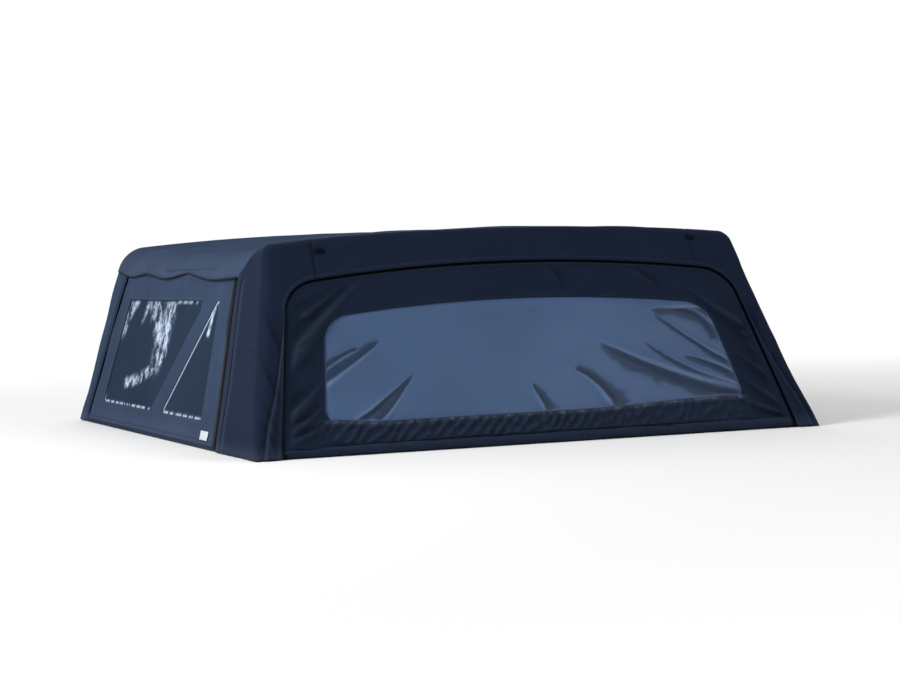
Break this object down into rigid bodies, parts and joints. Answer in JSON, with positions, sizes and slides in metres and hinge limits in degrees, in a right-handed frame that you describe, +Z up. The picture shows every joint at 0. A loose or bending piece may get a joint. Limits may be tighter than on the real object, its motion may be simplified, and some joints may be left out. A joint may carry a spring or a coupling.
{
  "type": "soft pickup truck canopy",
  "caption": "Soft fabric canopy over folding bows on two bed rails, with zipped side panels, clear windows and an arched rear curtain.",
  "frame": {"origin": "on the plane of the bed rails, at the middle of the canopy's base", "axes": "+X to the right side, +Y to the cab, +Z up"},
  "size_m": [1.723, 2.1485, 0.618],
  "materials": {
    "fabric_side": "coated twill, matt",
    "fabric_rear": "coated twill, matt",
    "clear_vinyl": "tinted clear vinyl, glossy",
    "zip_tape": "woven tape",
    "webbing": "woven webbing",
    "tube_paint": "satin black powder coat",
    "rail_paint": "satin black anodised",
    "moulded_cap": "textured black"
  },
  "bodies": {
    "root": {"rail_left": "rail_paint", "rail_right": "rail_paint", "corner_cap_left": "moulded_cap", "corner_cap_right": "moulded_cap", "pivot_plate_left": "tube_paint", "pivot_plate_right": "tube_paint", "bow_front": "tube_paint", "bow_second": "tube_paint", "bow_third": "tube_paint", "bow_rear": "tube_paint", "rear_arm_left": "tube_paint", "rear_arm_right": "tube_paint", "roof": "fabric_side", "front_corner_left": "fabric_side", "front_corner_right": "fabric_side", "rear_corner_left": "fabric_rear", "rear_corner_right": "fabric_rear", "rear_header": "fabric_rear", "side_panel_left": "fabric_side", "side_panel_right": "fabric_side", "window_large_left": "clear_vinyl", "window_large_right": "clear_vinyl", "window_small_left": "clear_vinyl", "window_small_right": "clear_vinyl", "front_curtain": "fabric_rear", "front_window": "clear_vinyl", "rear_zip": "zip_tape", "rear_curtain": "fabric_rear", "rear_window": "clear_vinyl", "rear_hem": "fabric_rear", "rear_bar": "tube_paint", "strap_left": "webbing", "strap_right": "webbing"}
  },
  "joints": []
}
